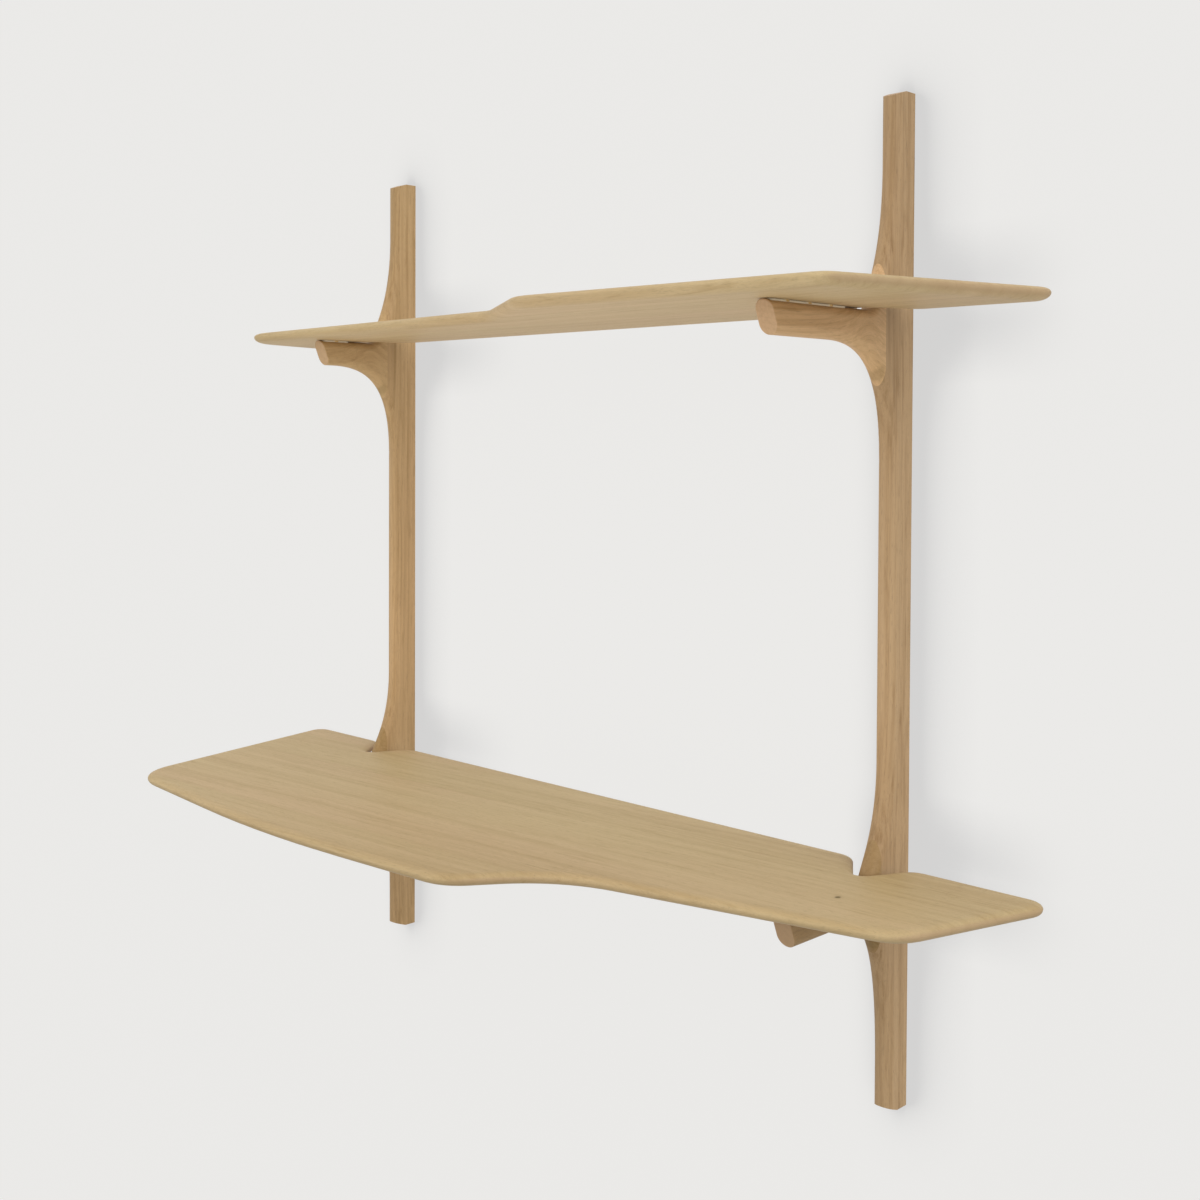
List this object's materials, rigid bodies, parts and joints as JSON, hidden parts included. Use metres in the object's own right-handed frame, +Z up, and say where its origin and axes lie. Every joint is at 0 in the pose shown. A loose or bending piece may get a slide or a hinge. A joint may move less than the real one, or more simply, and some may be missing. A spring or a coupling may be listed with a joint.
{
  "type": "wall-mounted desk",
  "caption": "Wall-hung oak desk: slim uprights flare into arms that carry a waisted desktop and an upper shelf on brass studs.",
  "frame": {"origin": "midway between the round entries of the four wall hangers, on the wall plane", "axes": "+X to the right along the wall, +Y into the wall, +Z up"},
  "size_m": [1.4469, 0.4844, 1.28],
  "materials": {
    "oak_sides": "oiled oak, satin",
    "oak_boards": "oiled oak, satin",
    "dowel_wood": "plain turned beech",
    "strip_metal": "satin cream paint",
    "stud_brass": "satin brass",
    "screw_steel": "zinc plated",
    "hanger_steel": "zinc plated"
  },
  "bodies": {
    "root": {"left_upright": "oak_sides", "left_upper_arm": "oak_sides", "left_upper_dowels": "dowel_wood", "left_upper_strip": "strip_metal", "left_upper_strip_screws": "screw_steel", "left_upper_studs": "stud_brass", "left_upper_bushings": "stud_brass", "left_desk_arm": "oak_sides", "left_desk_dowels": "dowel_wood", "left_desk_strip": "strip_metal", "left_desk_strip_screws": "screw_steel", "left_desk_studs": "stud_brass", "left_desk_bushings": "stud_brass", "left_top_hanger": "hanger_steel", "left_top_hanger_screws": "screw_steel", "left_bottom_hanger": "hanger_steel", "left_bottom_hanger_screws": "screw_steel", "right_upright": "oak_sides", "right_upper_arm": "oak_sides", "right_upper_dowels": "dowel_wood", "right_upper_strip": "strip_metal", "right_upper_strip_screws": "screw_steel", "right_upper_studs": "stud_brass", "right_upper_bushings": "stud_brass", "right_desk_arm": "oak_sides", "right_desk_dowels": "dowel_wood", "right_desk_strip": "strip_metal", "right_desk_strip_screws": "screw_steel", "right_desk_studs": "stud_brass", "right_desk_bushings": "stud_brass", "right_top_hanger": "hanger_steel", "right_top_hanger_screws": "screw_steel", "right_bottom_hanger": "hanger_steel", "right_bottom_hanger_screws": "screw_steel", "upper_shelf": "oak_boards", "desktop": "oak_boards"}
  },
  "joints": []
}
